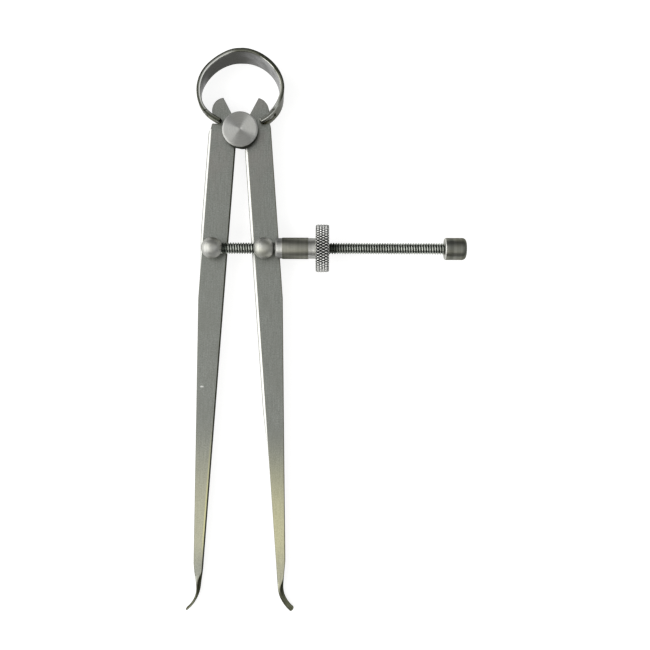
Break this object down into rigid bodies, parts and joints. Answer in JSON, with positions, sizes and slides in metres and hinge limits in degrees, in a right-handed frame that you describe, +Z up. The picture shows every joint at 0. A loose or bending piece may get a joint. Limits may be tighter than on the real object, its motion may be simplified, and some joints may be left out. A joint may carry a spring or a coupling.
{
  "type": "inside spring caliper",
  "caption": "Inside spring caliper: slim steel legs with out-turned tips, a bow spring round a turned fulcrum, and a long adjusting screw with a diamond-knurled nut.",
  "frame": {"origin": "centre of the fulcrum spool's back face, which the caliper rests on", "axes": "+Z up along the fulcrum axis, +Y from the tips towards the bow spring, +X along the adjusting screw towards its end cap"},
  "size_m": [0.0873, 0.1752, 0.0175],
  "materials": {
    "leg_steel": "fine-ground steel, straw-tinted towards the tips",
    "spring_steel": "dark polished spring steel with bright edges",
    "turned_steel": "bright turned steel with fine lathe rings",
    "screw_steel": "dark oiled steel",
    "nut_steel": "bright turned steel with a diamond knurl"
  },
  "bodies": {
    "fulcrum": {"fulcrum_spool": "turned_steel"},
    "left_leg": {"left_leg": "leg_steel"},
    "right_leg": {"right_leg": "leg_steel"},
    "screw": {"anchor_post": "turned_steel", "adjusting_screw": "screw_steel", "screw_end_cap": "screw_steel"},
    "guide": {"guide_post": "turned_steel"},
    "nut": {"adjusting_nut": "nut_steel"},
    "spring": {"bow_spring": "spring_steel"}
  },
  "joints": [
    {"name": "left_leg_hinge", "type": "hinge", "parent": "fulcrum", "child": "left_leg", "pos_m": [0, 0, 0.005], "axis": [0, 0, -1], "range_deg": [-4.75, 25.05]},
    {"name": "right_leg_hinge", "type": "hinge", "parent": "fulcrum", "child": "right_leg", "pos_m": [0, 0, 0.005], "axis": [0, 0, 1], "range_deg": [-4.75, 25.05]},
    {"name": "anchor_swivel", "type": "hinge", "parent": "left_leg", "child": "screw", "pos_m": [-0.00817, -0.0369, 0.01015], "axis": [0, 0, 1], "range_deg": [-4.75, 25.05]},
    {"name": "guide_swivel", "type": "hinge", "parent": "right_leg", "child": "guide", "pos_m": [0.00817, -0.0369, 0.01015], "axis": [0, 0, -1], "range_deg": [-4.75, 25.05]},
    {"name": "nut_turn", "type": "hinge", "parent": "guide", "child": "nut", "pos_m": [0.01072, -0.0369, 0.01015], "axis": [1, 0, 0], "range_deg": [-2566, 13650]},
    {"name": "spring_lift", "type": "slide", "parent": "fulcrum", "child": "spring", "axis": [0, 1, 0], "range_m": [-0.00061, 0.00321]}
  ],
  "couplings": [
    {"joint": "left_leg_hinge", "follows": "nut_turn", "ratio": 0.0018315},
    {"joint": "right_leg_hinge", "follows": "nut_turn", "ratio": 0.0018315},
    {"joint": "anchor_swivel", "follows": "nut_turn", "ratio": 0.0018315},
    {"joint": "guide_swivel", "follows": "nut_turn", "ratio": 0.0018315},
    {"joint": "spring_lift", "follows": "nut_turn", "m_per_rad": 0.000013432}
  ]
}
